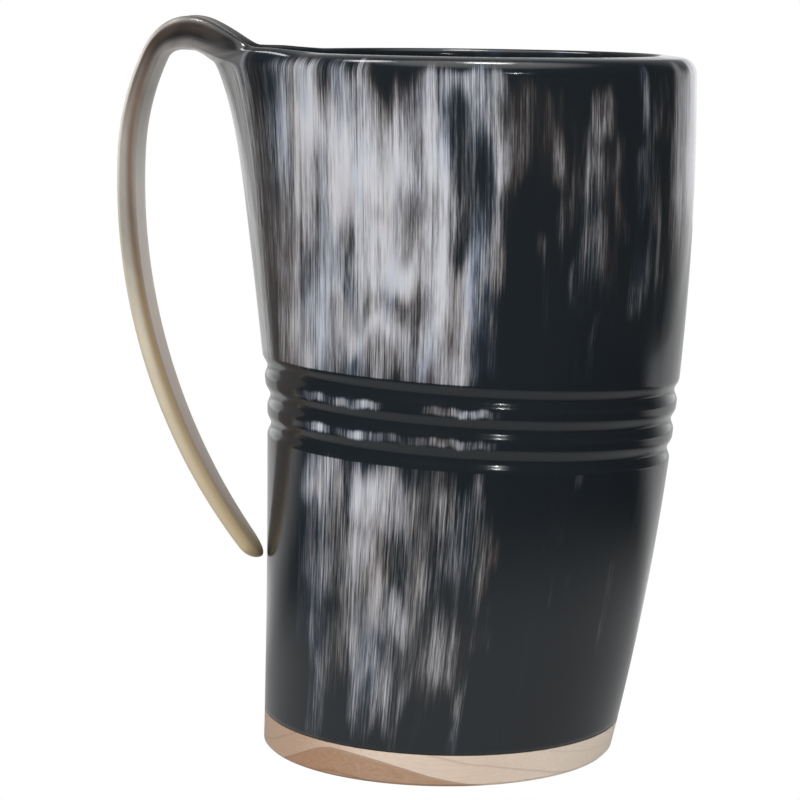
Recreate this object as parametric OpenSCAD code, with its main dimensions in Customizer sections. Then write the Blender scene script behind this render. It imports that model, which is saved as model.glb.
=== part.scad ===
// Drinking cup made from one piece of cattle horn on a wooden foot.
// A strip of the horn wall runs on above the rim and is bent down as the handle.
// The origin is the centre of the foot's underside, +Z is up and the handle is at -X.

/* [Cup] */
// Height of the rim above the table, in mm
rim_h = 150.2; // [130:0.1:170]
// Diameter of the mouth, without the root of the handle
mouth_d = 92.2; // [86:0.1:100]
// Diameter of the foot at the table
foot_d = 76.2; // [70:0.1:82]
// How far the horn leans forward of the foot where it leans most
lean = 7.1; // [3:0.1:9]
// Height at which the horn leans most
lean_h = 116; // [105:1:140]
// Thickness of the horn wall beside the handle
back_wall = 6.2; // [5:0.1:7.5]
// Thickness of the horn wall opposite the handle
front_wall = 8.2; // [6:0.1:9]
// Radius of the outer edge of the lip
lip_outer_r = 3; // [1.5:0.1:3.5]
// Radius of the inner edge of the lip
lip_inner_r = 1.8; // [1:0.1:2.5]
// How much lower the lip is at its outer edge
lip_fall = 1; // [0:0.1:1.5]

/* [Grooves] */
// Height of the middle groove above the table
groove_h = 74.6; // [60:0.1:80]
// Distance from one turned groove to the next
groove_pitch = 6.3; // [5:0.1:8]
// Width of each groove
groove_w = 4.2; // [2:0.1:4.6]
// Depth of each groove
groove_depth = 0.8; // [0.3:0.05:1.4]
// Angle by which the grooves fall away from the handle
groove_fall = 2.5; // [0:0.1:4]
// Angle by which the grooves tip towards the side at -Y
groove_tip = 1.5; // [0:0.1:2]

/* [Handle] */
// How far the wall bulges out at the root of the handle
root_bulge = 11.4; // [8:0.1:13]
// Length of the wall below the rim that bulges out
root_bulge_h = 75; // [60:1:78]
// How much the lip has risen where the handle leaves it
root_rise = 1.2; // [0.5:0.1:3]
// Width of the handle just after its bend
handle_w = 26; // [22:0.5:30]
// Width of the handle before its rounded tip
tip_w = 13; // [10:0.5:18]
// Thickness of the handle in its bend
bend_t = 6.6; // [4.8:0.1:7]
// Thickness of the handle just below its bend
handle_t = 3.8; // [3.5:0.1:5]
// Thickness of the handle before its rounded tip
tip_t = 2.4; // [2:0.1:3.5]
// How hollow the outer face of the handle is across its width
handle_hollow = 1.2; // [0:0.1:1.5]
// Angle by which the handle leans out where it leaves the rim
root_lean = 22; // [18:0.5:30]
// Radius of the tight bend over the top, on the middle of the thickness
bend_r = 8.1; // [7.5:0.1:9.5]
// Angle by which the handle leans out at the end of the tight bend
shoulder_lean = 25; // [20:0.5:32]
// Radius of the shoulder below the tight bend
shoulder_r = 55; // [40:1:65]
// Angle by which the handle leans out below its shoulder
drop_lean = 2.9; // [2:0.1:6]
// Radius of the long sweep down to the tip
sweep_r = 133; // [115:1:150]
// Length of the long sweep below the shoulder, with the tip
sweep_len = 94.5; // [85:0.5:98]
// Length of the rounded end of the handle
tip_len = 5; // [2:0.5:8]

/* [Foot] */
// Height of the joint between horn and wood above the table
joint_h = 7; // [5:0.1:9]
// Angle by which the joint falls away from the handle
joint_fall = 0.5; // [0:0.1:1.5]
// Bevel round the underside of the foot
foot_bevel = 0.5; // [0.3:0.1:1.5]
// Diameter of the spigot that plugs the horn
spigot_d = 61; // [54:0.5:63]
// Height of the cup's floor, the top of the spigot, above the table
floor_h = 17; // [13:0.5:22]

/* [Seal] */
// Height and width of the resin fillet round the floor of the cup
fillet_size = 4; // [2:0.1:6]
// Gap round the spigot for the adhesive
spigot_clearance = 0.25; // [0.15:0.05:0.5]
// Thickness of the glue line between the horn and the foot
glue_line = 0.15; // [0.1:0.05:0.3]

/* [Hidden] */

// Counts of faces round and along the horn
root_n = 8;
side_n = 5;
front_n = 36;
columns = root_n + 2 * side_n + front_n;
low_rows = 8;
high_rows = 9;
inner_rows = 9;
inner_power = 1.4;
round_n = 96;
bend_rings = 16;
sweep_rings = 20;
tip_rings = 4;

// Derived sizes
foot_r = foot_d / 2;
mouth_r = mouth_d / 2;
bore_r = spigot_d / 2 + spigot_clearance;
bore_top = floor_h + fillet_size;
overrun = foot_bevel;
glue_z = joint_h - glue_line;
// Angles, seen from the axis, of the handle's root and of the blend beside it
root_half = 17;
blend_half = 38;
bulge_flat = 6;
bulge_half = 33;
// Shares of the bulge that grow evenly with height and that curl out near the rim
even_share = 0.645;
curl_share = 1 - even_share;
curl_power = 8;
// Length of wall over which the rows of faces follow the rise of the lip
rise_share = 0.4;
rise_h = rise_share * root_bulge_h;
// Share of the tight bend in which the root turns into the handle's section
blend_share = 0.4;
// How late the handle narrows and thins on its way to the tip
taper_power = 1.3;
thin_power = 4;

function clamp(v) = min(1, max(0, v));
function smooth(v) = let (u = clamp(v)) u * u * (3 - 2 * u);
function mix(a, b, share) = a + (b - a) * share;

// Centre line and radius of the round horn at height z
function centre_x(z) = lean * (1 - pow(1 - z / lean_h, 2));
function round_r(z) = foot_r + (mouth_r - foot_r) * (1 - pow(1 - z / rim_h, 2));

// Bulge towards the handle, where a is the angle away from the handle
function bulge_grow(z) = let (u = clamp((z - rim_h + root_bulge_h) / root_bulge_h))
    even_share * u + curl_share * pow(u, curl_power);
function bulge_spread(a) = 1 - smooth((abs(a) - bulge_flat) / (bulge_half - bulge_flat));
function outer_r(a, z) = round_r(z) + root_bulge * bulge_grow(z) * bulge_spread(a);
function wall(a) = mix(back_wall, front_wall, (1 - cos(a)) / 2);

// Rise of the lip beside the handle
function lip_rise(a) = root_rise * pow(1 - clamp((abs(a) - root_half) / (blend_half - root_half)), 2);

// Turned grooves, by height on the centre line
groove_heights = [for (k = [-1:1]) groove_h + k * groove_pitch];
groove_low = groove_heights[0] - groove_w / 2;
groove_high = groove_heights[2] + groove_w / 2;
function one_groove(d) = abs(d) < groove_w / 2 ? groove_depth * (1 - pow(2 * d / groove_w, 2)) : 0;
function groove_cut(h) = max([for (g = groove_heights) one_groove(h - g)]);

// Slope of a row of faces: along the joint, then the grooves, then level at the rim
joint_slope = [-tan(joint_fall), 0];
groove_slope = [-tan(groove_fall), -tan(groove_tip)];
function row_slope(h) = h < groove_low
    ? mix(joint_slope, groove_slope, smooth((h - joint_h) / (groove_low - joint_h)))
    : groove_slope * (1 - smooth((h - groove_high) / (rim_h - lip_outer_r - groove_high)));

// Angle away from the handle of column i, with the handle's root first
function column_angle(i) =
    let (front_first = root_n + side_n, back_first = front_first + front_n, side = blend_half - root_half)
    i <= root_n ? mix(-root_half, root_half, i / root_n)
    : i <= front_first ? mix(root_half, blend_half, (i - root_n) / side_n)
    : i <= back_first ? mix(blend_half, 360 - blend_half, (i - front_first) / front_n)
    : 360 - blend_half + side * (i - back_first) / side_n;
function away(a) = a > 180 ? a - 360 : a;

// A point at angle a from the handle, height z and distance r from the centre line
function at(a, z, r) = [centre_x(z) - r * cos(a), -r * sin(a), z];

// A point on the horn's outer face, by column angle and height on the centre line
function outer_point(a, h) =
    let (slope = row_slope(h), r = round_r(h), follow = smooth((h - rim_h + lip_outer_r + rise_h) / rise_h),
        z = h - r * (slope[0] * cos(a) + slope[1] * sin(a)) + lip_rise(away(a)) * follow)
    at(a, z, outer_r(away(a), z) - groove_cut(h));

// The lip in section: distance in from the outer face and drop below the crown
function lip_profile(a) = let (w = wall(away(a))) concat(
    [for (t = [0:30:90]) [lip_outer_r * (1 - cos(t)), lip_outer_r * (1 - sin(t))]],
    [for (t = [90:-45:0]) [w - lip_inner_r * (1 - cos(t)), lip_inner_r * (1 - sin(t))]]);
lip_points = len(lip_profile(0));
function lip_point(a, k) =
    let (p = lip_profile(a)[k], z = rim_h + lip_rise(away(a)) - p[1] - lip_fall * (1 - p[0] / wall(away(a))))
    at(a, z, outer_r(away(a), min(z, rim_h)) - p[0]);

// A point on the horn's inner face
function inner_point(a, h) =
    let (follow = smooth((h - rim_h + lip_inner_r + rise_h) / rise_h), z = h + lip_rise(away(a)) * follow)
    at(a, z, outer_r(away(a), z) - wall(away(a)));
function bore_point(a, h) = [-bore_r * cos(a), -bore_r * sin(a), h];
function joint_z(x) = joint_h - x * tan(joint_fall);

// Heights of the rows of points
low_heights = [for (k = [0:low_rows - 1]) mix(joint_h, groove_low, k / low_rows)];
cut_heights = [for (g = groove_heights) for (k = [-2:2]) g + k * groove_w / 4];
high_top = rim_h - lip_outer_r - lip_fall;
high_heights = [for (k = [1:high_rows]) mix(groove_high, high_top, k / (high_rows + 1))];
inner_top = rim_h - lip_inner_r;
inner_low = bore_top + fillet_size;
inner_heights = [for (k = [1:inner_rows]) mix(inner_top, inner_low, pow(k / inner_rows, inner_power))];

column_angles = [for (i = [0:columns - 1]) column_angle(i)];
grid = concat(
    [for (h = concat(low_heights, cut_heights, high_heights)) [for (a = column_angles) outer_point(a, h)]],
    [for (k = [0:lip_points - 1]) [for (a = column_angles) lip_point(a, k)]],
    [for (h = inner_heights) [for (a = column_angles) inner_point(a, h)]],
    [[for (a = column_angles) bore_point(a, bore_top)]],
    [[for (a = column_angles) bore_point(a, joint_z(-bore_r * cos(a)))]]);
rows = len(grid);
lip_first = len(low_heights) + len(cut_heights) + len(high_heights);
lip_last = lip_first + lip_points - 1;
function id(row, column) = (row % rows) * columns + column % columns;

// The opening in the lip that the handle grows out of, as point numbers
root_loop = concat(
    [for (c = [0:root_n]) id(lip_first, c)],
    [for (r = [lip_first + 1:lip_last - 1]) id(r, root_n)],
    [for (c = [root_n:-1:0]) id(lip_last, c)],
    [for (r = [lip_last - 1:-1:lip_first + 1]) id(r, 0)]);
loop_n = len(root_loop);
grid_points = [for (row = grid) for (p = row) p];

// Path of the handle in the plane of its bend: place and heading at length s
root_out = grid_points[id(lip_first, root_n / 2)];
root_in = grid_points[id(lip_last, root_n / 2)];
root_place = [(root_out[0] + root_in[0]) / 2, (root_out[2] + root_in[2]) / 2];
bend_angle = 180 - shoulder_lean - root_lean;
shoulder_angle = shoulder_lean - drop_lean;
arcs = [[bend_r, bend_angle], [shoulder_r, shoulder_angle], [sweep_r, sweep_len / sweep_r * 180 / PI]];
function arc_len(k) = arcs[k][0] * arcs[k][1] * PI / 180;
function arc_at(s) = s < arc_len(0) ? 0 : s < arc_len(0) + arc_len(1) ? 1 : 2;
arc_start = [0, arc_len(0), arc_len(0) + arc_len(1)];
arc_heading = [root_lean, root_lean + bend_angle, root_lean + bend_angle + shoulder_angle];
bend_len = arc_start[1];
drop_len = arc_start[2];
path_len = drop_len + sweep_len;
function swing(from, r, g0, g1) = from + r * [cos(g1) - cos(g0), sin(g1) - sin(g0)];
bend_end = swing(root_place, bend_r, arc_heading[0], arc_heading[1]);
shoulder_end = swing(bend_end, shoulder_r, arc_heading[1], arc_heading[2]);
arc_from = [root_place, bend_end, shoulder_end];
function heading(s) = let (k = arc_at(s)) arc_heading[k] + (s - arc_start[k]) / arcs[k][0] * 180 / PI;
function place(s) = let (k = arc_at(s)) swing(arc_from[k], arcs[k][0], arc_heading[k], heading(s));

// Half width and thickness of the handle at length s
blend_len = blend_share * bend_len;
function below_bend(s) = clamp((s - bend_len) / (path_len - bend_len));
function half_w(s) = mix(handle_w, tip_w, pow(below_bend(s), taper_power)) / 2;
function thick(s) = s < bend_len
    ? mix(bend_t, handle_t, smooth(2 * s / bend_len - 1))
    : mix(handle_t, tip_t, pow(below_bend(s), thin_power));
function tip_scale(s) = let (u = clamp((s - path_len + tip_len) / tip_len)) sqrt(max(0, 1 - u * u));

// The handle in section: across and towards its hollow face, in the order of the root's loop
function edge_arc(w, t, side) = [for (k = [1:lip_points - 2]) let (a = -90 + 180 * k / (lip_points - 1))
    [side * (w - t / 2 + t / 2 * cos(a)), t / 2 * sin(a)]];
function section(w, t) = concat(
    [for (c = [0:root_n]) [mix(1, -1, c / root_n) * (w - t / 2), -t / 2]],
    edge_arc(w, t, -1),
    [for (c = [root_n:-1:0]) [mix(1, -1, c / root_n) * (w - t / 2), t / 2]],
    reverse(edge_arc(w, t, 1)));
function reverse(list) = [for (k = [len(list) - 1:-1:0]) list[k]];

// One ring of the handle: the root's loop turns into the section as the handle leaves the rim
function handle_ring(s) =
    let (t = thick(s) * tip_scale(s), w = max(half_w(s) * tip_scale(s), t / 2), form = section(w, t),
        formed = sin(90 * clamp(s / blend_len)), g = heading(s), o = place(s))
    [for (k = [0:loop_n - 1])
        let (y = form[k][0], up = form[k][1] + handle_hollow * (pow(y / half_w(s), 2) - 1 / 2))
        mix(grid_points[root_loop[k]], [o[0] + cos(g) * up, y, o[1] + sin(g) * up], formed)];

ring_lengths = concat(
    [for (k = [1:bend_rings]) bend_len * k / bend_rings],
    [for (k = [1:sweep_rings]) mix(bend_len, path_len - tip_len, k / sweep_rings)],
    [for (k = [1:tip_rings - 1]) path_len - tip_len * (1 - sin(90 * k / tip_rings))]);
rings = [for (s = ring_lengths) handle_ring(s)];
tip_place = place(path_len);

horn_points = concat(grid_points, [for (ring = rings) for (p = ring) p], [[tip_place[0], 0, tip_place[1]]]);
first_ring = len(grid_points);
tip_id = len(horn_points) - 1;
function ring_id(ring, k) = ring < 0 ? root_loop[k % loop_n] : first_ring + ring * loop_n + k % loop_n;

// Two triangles over the four corners a, b, c, d
function two(a, b, c, d) = [[a, b, c], [a, c, d]];
function in_root(row, column) = row >= lip_first && row < lip_last && column < root_n;
horn_faces = concat(
    [for (r = [0:rows - 1]) for (c = [0:columns - 1]) if (!in_root(r, c))
        for (f = two(id(r, c), id(r + 1, c), id(r + 1, c + 1), id(r, c + 1))) f],
    [for (r = [-1:len(rings) - 2]) for (k = [0:loop_n - 1])
        for (f = two(ring_id(r, k), ring_id(r + 1, k), ring_id(r + 1, k + 1), ring_id(r, k + 1))) f],
    [for (k = [0:loop_n - 1]) [ring_id(len(rings) - 1, k), tip_id, ring_id(len(rings) - 1, k + 1)]]);

// The horn: wall, lip, turned grooves and handle are one piece, as they grew
module horn_body() {
    color("#33373b") polyhedron(points = horn_points, faces = horn_faces, convexity = 6);
}

// The foot's side follows the lean and the swelling of the horn above it
foot_shear = 2 * lean / lean_h;
foot_flare = 2 * (mouth_r - foot_r) / rim_h;
foot_side_h = 2 * joint_h;
bevel_r = foot_r - foot_bevel;
module foot_side() {
    multmatrix([[1, 0, foot_shear, 0], [0, 1, 0, 0], [0, 0, 1, 0], [0, 0, 0, 1]])
        cylinder(h = foot_side_h, r1 = foot_r, r2 = foot_r + foot_side_h * foot_flare, $fn = round_n);
}

// What lies under the joint, with the bevel round the table edge
module under_joint() {
    difference() {
        cylinder(h = foot_side_h, r1 = bevel_r, r2 = bevel_r + foot_side_h, $fn = round_n);
        translate([0, 0, glue_z]) rotate([0, joint_fall, 0])
            translate([-mouth_d, -mouth_d, 0]) cube([2 * mouth_d, 2 * mouth_d, mouth_d]);
    }
}

// Wooden foot: a disc flush with the horn and a spigot that plugs it
module wooden_base() {
    color("#c9a583") union() {
        intersection() {
            foot_side();
            under_joint();
        }
        translate([0, 0, overrun]) cylinder(h = floor_h - overrun, d = spigot_d, $fn = round_n);
    }
}

// Resin fillet that seals the floor of the cup to the horn
module resin_seal() {
    color("#4a3a22") translate([0, 0, floor_h]) rotate_extrude($fn = round_n)
        translate([bore_r - spigot_clearance, 0]) difference() {
            translate([-fillet_size, 0]) square(fillet_size);
            translate([-fillet_size, fillet_size]) circle(r = fillet_size, $fn = round_n);
        }
}

horn_body();
wooden_base();
resin_seal();
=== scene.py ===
import math

import bpy
import numpy as np
from mathutils import Matrix, Vector


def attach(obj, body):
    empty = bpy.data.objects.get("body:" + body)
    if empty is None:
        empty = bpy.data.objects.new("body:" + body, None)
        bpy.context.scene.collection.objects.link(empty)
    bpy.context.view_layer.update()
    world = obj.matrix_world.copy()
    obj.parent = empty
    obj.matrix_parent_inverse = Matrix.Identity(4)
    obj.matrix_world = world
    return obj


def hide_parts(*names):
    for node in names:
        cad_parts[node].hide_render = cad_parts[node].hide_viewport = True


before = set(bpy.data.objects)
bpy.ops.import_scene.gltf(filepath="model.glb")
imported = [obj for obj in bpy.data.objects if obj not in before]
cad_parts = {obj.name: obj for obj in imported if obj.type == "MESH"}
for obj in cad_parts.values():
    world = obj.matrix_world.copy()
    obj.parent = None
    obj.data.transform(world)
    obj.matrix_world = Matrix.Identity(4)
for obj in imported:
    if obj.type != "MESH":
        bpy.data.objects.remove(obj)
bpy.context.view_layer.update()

MM = 0.001

# Sizes of the cup in mm and degrees, the same as in the CAD
RIM_H, MOUTH_R, FOOT_R = 150.2, 46.1, 38.1
LEAN, LEAN_H = 7.1, 116.0
BACK_WALL, FRONT_WALL = 6.2, 8.2
LIP_OUTER_R, LIP_INNER_R, LIP_FALL = 3.0, 1.8, 1.0
GROOVE_H, GROOVE_PITCH, GROOVE_W, GROOVE_DEPTH = 74.6, 6.3, 4.2, 0.8
GROOVE_FALL, GROOVE_TIP = 2.5, 1.5
ROOT_BULGE, ROOT_BULGE_H, ROOT_RISE = 11.4, 75.0, 1.2
HANDLE_W, TIP_W, BEND_T, HANDLE_T, TIP_T, HANDLE_HOLLOW = 26.0, 13.0, 6.6, 3.8, 2.4, 1.2
ROOT_LEAN, BEND_R, SHOULDER_LEAN, SHOULDER_R = 22.0, 8.1, 25.0, 55.0
DROP_LEAN, SWEEP_R, SWEEP_LEN, TIP_LEN = 2.9, 133.0, 94.5, 5.0
JOINT_H, JOINT_FALL, SPIGOT_R, FLOOR_H, FILLET, GAP = 7.0, 0.5, 30.5, 17.0, 4.0, 0.25
ROOT_HALF, BLEND_HALF, BULGE_FLAT, BULGE_HALF = 17.0, 38.0, 6.0, 33.0
EVEN_SHARE, CURL_POWER, RISE_SHARE, BLEND_SHARE = 0.645, 8, 0.4, 0.4
TAPER_POWER, THIN_POWER = 1.3, 4
BORE_R, BORE_TOP = SPIGOT_R + GAP, FLOOR_H + FILLET
RISE_H = RISE_SHARE * ROOT_BULGE_H
GROOVES = [GROOVE_H + k * GROOVE_PITCH for k in (-1, 0, 1)]
GROOVE_LOW, GROOVE_HIGH = GROOVES[0] - GROOVE_W / 2, GROOVES[2] + GROOVE_W / 2
CRESTS = [(GROOVES[k] + GROOVES[k + 1]) / 2 for k in (0, 1)]
# The turned grooves run out softly into their crests
GROOVE_SOFT = 1.2

# Counts of faces
ROOT_N, SIDE_N, FRONT_N = 36, 18, 220
COLUMNS = ROOT_N + 2 * SIDE_N + FRONT_N
LOW_ROWS, CUT_ROWS, HIGH_ROWS, INNER_ROWS = 66, 72, 62, 50
LIP_OUTER_N, LIP_INNER_N = 9, 7
BEND_RINGS, SWEEP_RINGS, TIP_RINGS = 60, 110, 12
# The rows inside the cup crowd towards the lip by this power
INNER_CROWDING = 1.4

# Within this distance of the handle's root the surface is smoothed, by this share in each of so many rounds.
# The distance counts from every third point of the root's loop.
SOFTEN_REACH, SOFTEN_SHARE, SOFTEN_ROUNDS, LOOP_STEP = 5.0, 0.5, 20, 3
# The fibres are laid out on a tube of this radius, so that each keeps its angle up the wall and the handle
FIBRE_R = 42.0

# Pattern of the horn. Angles count from the handle towards the front, heights from the table.
# Pale patches: angle, height, half angle, half height, strength, and tone from blue -1 to brown 1.
# The last three are on the far side, which the photograph does not show.
PALE_PATCHES = [
    (52, 118, 32, 34, 0.65, 0.0), (37, 141, 5, 8, 0.7, 0.0), (53, 139, 5, 8, 0.6, 0.0),
    (47, 129, 15, 6, 0.5, 0.0), (64, 127, 6, 7, 0.9, 0.0), (78, 131, 3, 16, 0.8, -0.1),
    (69, 140, 4, 5, 0.4, -0.3), (84, 145, 3, 4, 0.6, 0.0), (90, 141, 4, 8, 0.8, 0.0),
    (93, 126, 1, 14, 0.5, 0.2), (99, 139, 3, 9, 0.35, 0.2), (50, 124, 4, 7, 0.7, 0.0),
    (60, 113, 5, 6, 0.5, 0.0), (68, 107, 4, 4, 0.9, 0.0), (78, 104, 3, 20, 1.0, -0.1),
    (38, 95, 12, 12, 0.6, 0.0), (42, 92, 3, 10, 0.5, 0.0), (66, 91, 6, 7, 0.5, 0.0),
    (84, 98, 3, 14, 0.4, 0.7), (88, 104, 2, 12, 0.4, -0.4), (53, 122, 2, 10, 0.3, 1.0),
    (53, 95, 3, 5, 0.5, 1.0), (108, 130, 1, 4, 0.5, 0.0), (110, 118, 1, 14, 0.15, 0.2),
    (120, 141, 1, 6, 0.6, 0.0), (123, 141, 1, 5, 0.3, 0.0), (117, 134, 2, 6, 0.3, -0.2),
    (118, 122, 4, 13, 0.25, 0.2), (135, 141, 1, 6, 0.4, 0.0), (139, 136, 1, 5, 0.2, 0.0),
    (127, 132, 1, 6, 0.2, -0.2), (135, 115, 22, 35, 0.07, 0.3),
    (160, 132, 10, 18, 0.9, 0.0), (162, 136, 10, 16, 0.9, 0.0),
    (62, 44, 30, 28, 0.26, 0.2), (41, 64, 5, 5, 0.6, 0.0), (50, 64, 3, 5, 0.5, 0.0),
    (60, 62, 4, 7, 0.9, 0.0), (60, 48, 3, 7, 0.5, 0.0), (68, 60, 4, 7, 0.4, 0.0),
    (81, 57, 2, 4, 0.3, 0.0), (88, 58, 4, 6, 0.15, 0.3), (62, 33, 5, 8, 0.35, 0.0),
    (71, 36, 3, 4, 0.4, 0.0), (84, 25, 5, 5, 0.3, 0.0), (92, 18, 1, 7, 0.4, 0.0),
    (68, 16, 8, 6, 0.3, 0.0),
    (222, 120, 22, 30, 0.35, 0.2), (305, 116, 24, 32, 0.4, 0.0), (250, 38, 22, 26, 0.25, 0.3)]
# Dark patches that cut into them: angle, height, half angle, half height, strength
DARK_PATCHES = [
    (66, 148, 7, 5, 0.9), (67, 142, 4, 4, 0.5), (46, 146, 4, 4, 0.5), (57, 149, 4, 3, 0.3),
    (27, 118, 4, 12, 0.4), (39, 109, 6, 10, 0.35), (50, 107, 5, 5, 0.3), (72, 118, 3, 7, 0.4),
    (72, 98, 4, 3, 0.4), (58, 99, 4, 3, 0.25), (55, 87, 4, 4, 0.4), (84, 132, 3, 12, 0.7),
    (84, 114, 3, 5, 0.5), (103, 115, 4, 30, 0.6),
    (79, 149, 5, 2, 0.8), (62, 88, 5, 4, 0.3), (50, 36, 4, 8, 0.4), (44, 124, 4, 10, 0.25)]
# Clouds in which the streaks blur: angle, height, half angle, half height, how much
CLOUDY_PATCHES = [
    (54, 123, 4, 5, 0.7), (66, 127, 4, 5, 0.7), (63, 117, 6, 5, 0.5), (68, 107, 4, 4, 0.9),
    (38, 135, 3, 8, 0.5), (57, 94, 5, 5, 0.5), (60, 62, 4, 4, 0.5), (62, 34, 5, 5, 0.5)]
# Streaks on the crests between the grooves: angle, lower or upper crest, half angle, strength
CREST_PATCHES = [
    (42, 1, 5, 1.0), (51, 1, 4, 0.5), (58, 1, 6, 0.8), (84, 1, 8, 0.9), (94, 1, 4, 0.4),
    (43, 0, 5, 0.9), (60, 0, 12, 0.7), (85, 0, 10, 0.9)]
CREST_STRENGTH = 0.95
# A streak on a crest fades from this share of its half angle, over this share
CREST_SIDES_FROM, CREST_SIDES_FADE = 0.3, 1.1
# It fades upwards and downwards from this height beside the crest, over this height, raggedly by this much
CREST_ENDS_FROM, CREST_ENDS_FADE, CREST_JAG = 0.4, 1.0, 0.1
# Small streaks strewn over a zone: angles from and to, heights from and to, how many, widest half angle,
# strength, tone. The last two zones are on the far side.
STREWN_ZONES = [
    (24, 95, 84, 149, 110, 3.0, 0.40, 0.1), (103, 155, 100, 148, 80, 0.9, 0.14, 0.3),
    (40, 98, 12, 68, 90, 2.0, 0.16, 0.3), (98, 170, 10, 98, 30, 1.5, 0.12, 0.2),
    (190, 335, 84, 148, 110, 6.0, 0.45, 0.2), (190, 335, 12, 68, 60, 4.0, 0.40, 0.2)]
STREW_SEED = 41
# A strewn streak's narrowest half angle, half height, factor of the strength and shift of the tone
STREAK_NARROWEST, STREAK_HALF_HEIGHTS = 0.5, (2, 10)
STREAK_STRENGTHS, STREAK_TONES = (0.3, 1.4), (-0.5, 0.5)
# A patch is this much larger each way than it is listed
PATCH_PAD = 0.5
# It fades sideways and towards its ends from these shares of its half sizes, over these shares
SIDES_FROM, SIDES_FADE, ENDS_FROM, ENDS_FADE = 0.35, 1.1, 0.25, 1.2
# Its ends are as ragged as the noise says from this half height on, and less so below it
RAGGED_HALF_HEIGHT = 6
# Across the grooves, and so many mm beside them, only this share of a patch is left
BAND_MARGIN, BAND_SHARE = 0.4, 0.15
# Towards the rim the pattern fades from this depth below it, over this height, raggedly by this much
LIP_DARK_DEPTH, LIP_DARK_FADE, LIP_JAG = 3.6, 3.5, 0.6
# Noises over the horn: width of a cell in degrees, its height in mm, seed and strength
END_NOISE, END_LUMPS, SWAY_NOISE = (2.6, 15, 3, 4.0), (7, 9, 4, 3.0), (8, 12, 5, 1.6)
THIN_NOISE, THIN_LUMPS, THIN_MEAN = (2.6, 45, 6, 0.20), (8, 7, 7, 0.26), 0.74
CREST_NOISE, CREST_MEAN = (2.2, 3, 9, 0.5), 0.75
SHADE_NOISE, TONE_NOISE = (9, 22, 8, 2.0), (4, 20, 10, 0.15)
# The ground has its shade as far as the paleness times this gain, less this offset, says
SHADE_GAIN, SHADE_OFFSET = 1.8, 0.1
# Tones below zero turn blue this many times sooner than tones above it turn brown
BLUE_GAIN = 2
# Keeps a sum of shares from being zero
TINY = 1e-6
# Random values along the height, and how far below the table they start
CLOUD_ROWS, CLOUD_START = 64, 40
# The greys of the handle's root, with a painted reflection, run down the wall under it: half angle, and the
# angle over which they fade
ROOT_HALF_ANGLE, ROOT_FADE = 12.0, 11.0
# They start from this height, over this height, and change their strength between two heights
ROOT_START, ROOT_START_FADE, ROOT_LOW, ROOT_HIGH = 80.0, 8.0, 124.0, 146.0
# Their strength below and above, the share of it inside the cup, and how calm their fibres are
ROOT_BELOW, ROOT_ABOVE, ROOT_INSIDE, ROOT_CALM = 0.75, 0.72, 0.25, 0.8
# Inside the cup this share of the pattern is left. In a groove it fades from this share of the depth, over
# this share
INSIDE_PALE, GROOVE_DARK_FROM, GROOVE_DARK_FADE = 0.2, 0.2, 0.3


def srgb(code):
    """A colour written as six hex digits, as linear red, green and blue."""
    parts = [int(code[k:k + 2], 16) / 255 for k in (0, 2, 4)]
    return np.array([v / 12.92 if v <= 0.04045 else ((v + 0.055) / 1.055) ** 2.4 for v in parts])


# Colours of the horn's body: ground, its bluish and brownish shades, and the streaks
GROUND, SLATE, UMBER = srgb("1d2226"), srgb("2e3a48"), srgb("3a3331")
PALE, BLUISH, BROWNISH = srgb("c9cad0"), srgb("8497b4"), srgb("9a8677")
# The root's pale grey is partly the horn's own and partly a painted reflection
ROOT_DARK, ROOT_PALE_AND_SHEEN = srgb("3a3836"), srgb("b4b4b2")
# Colours of the handle: its core line, and the halves towards the outer and the inner face
SMOKE, BARK, TAN, OLIVE = srgb("3a3838"), srgb("5c4b41"), srgb("86705f"), srgb("ae9670")
ASH, BEIGE, LILAC, CREAM = srgb("a29c94"), srgb("d2c7b2"), srgb("d2ccc8"), srgb("e4dbd0")
ROSE, DUSK, WHEAT = srgb("eedccd"), srgb("d4c2b3"), srgb("c5b18d")
# Colours along the handle by shares of its length: outermost strip, outer half, core line and inner half
# The outermost strip is partly the horn's own pale edge and partly a painted reflection and highlight
EDGE_AND_SHEEN_STOPS = [
    (0.0, SMOKE), (0.04, SMOKE), (0.08, ASH), (0.12, CREAM), (0.24, CREAM), (0.40, BEIGE), (1.0, WHEAT)]
OUTER_STOPS = [
    (0.0, SMOKE), (0.05, BARK), (0.12, BARK), (0.28, ASH), (0.42, ASH), (0.60, BEIGE), (1.0, WHEAT)]
CORE_STOPS = [(0.0, SMOKE), (0.10, SMOKE), (0.22, TAN), (0.40, TAN), (0.60, OLIVE), (0.85, WHEAT)]
INNER_STOPS = [(0.10, LILAC), (0.20, ASH), (0.35, CREAM), (0.55, ROSE), (0.85, DUSK), (1.0, WHEAT)]
# Places across the handle run from 1 at its outer face to -1 beside its inner face, and to this on that face
ON_INNER_FACE = -2.0
# The core line's place in the bend and below it, and how far it fades to each side
CORE_IN_BEND, CORE_BELOW, CORE_FADE = -0.35, -0.75, 0.6
# It moves from one place to the other between these shares of the length
CORE_FROM_SHARE, CORE_TO_SHARE = 0.08, 0.53
# The outermost strip, partly a painted reflection, starts at this place, and has its full colour this much
# further out
EDGE_PLACE, EDGE_FADE = 0.45, 0.25
# Beside it lies a thin dark line: its place, how far it fades to each side, and its strength
LINE_PLACE, LINE_HALF, LINE_STRENGTH = 0.38, 0.22, 0.7
# It ends between these shares of the length
LINE_FROM_SHARE, LINE_TO_SHARE = 0.14, 0.28
# How calm the fibres of the handle are, 0 to 1
HANDLE_CALM = 0.15
# The handle takes on its own looks over this share of the bend
OWN_LOOKS_SHARE = 0.4
# Its paleness at the top and below, and the share of the bend at which it starts to change
HANDLE_PALE_TOP, HANDLE_PALE_BELOW, HANDLE_PALE_FROM = 0.65, 0.9, 0.4
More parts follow.
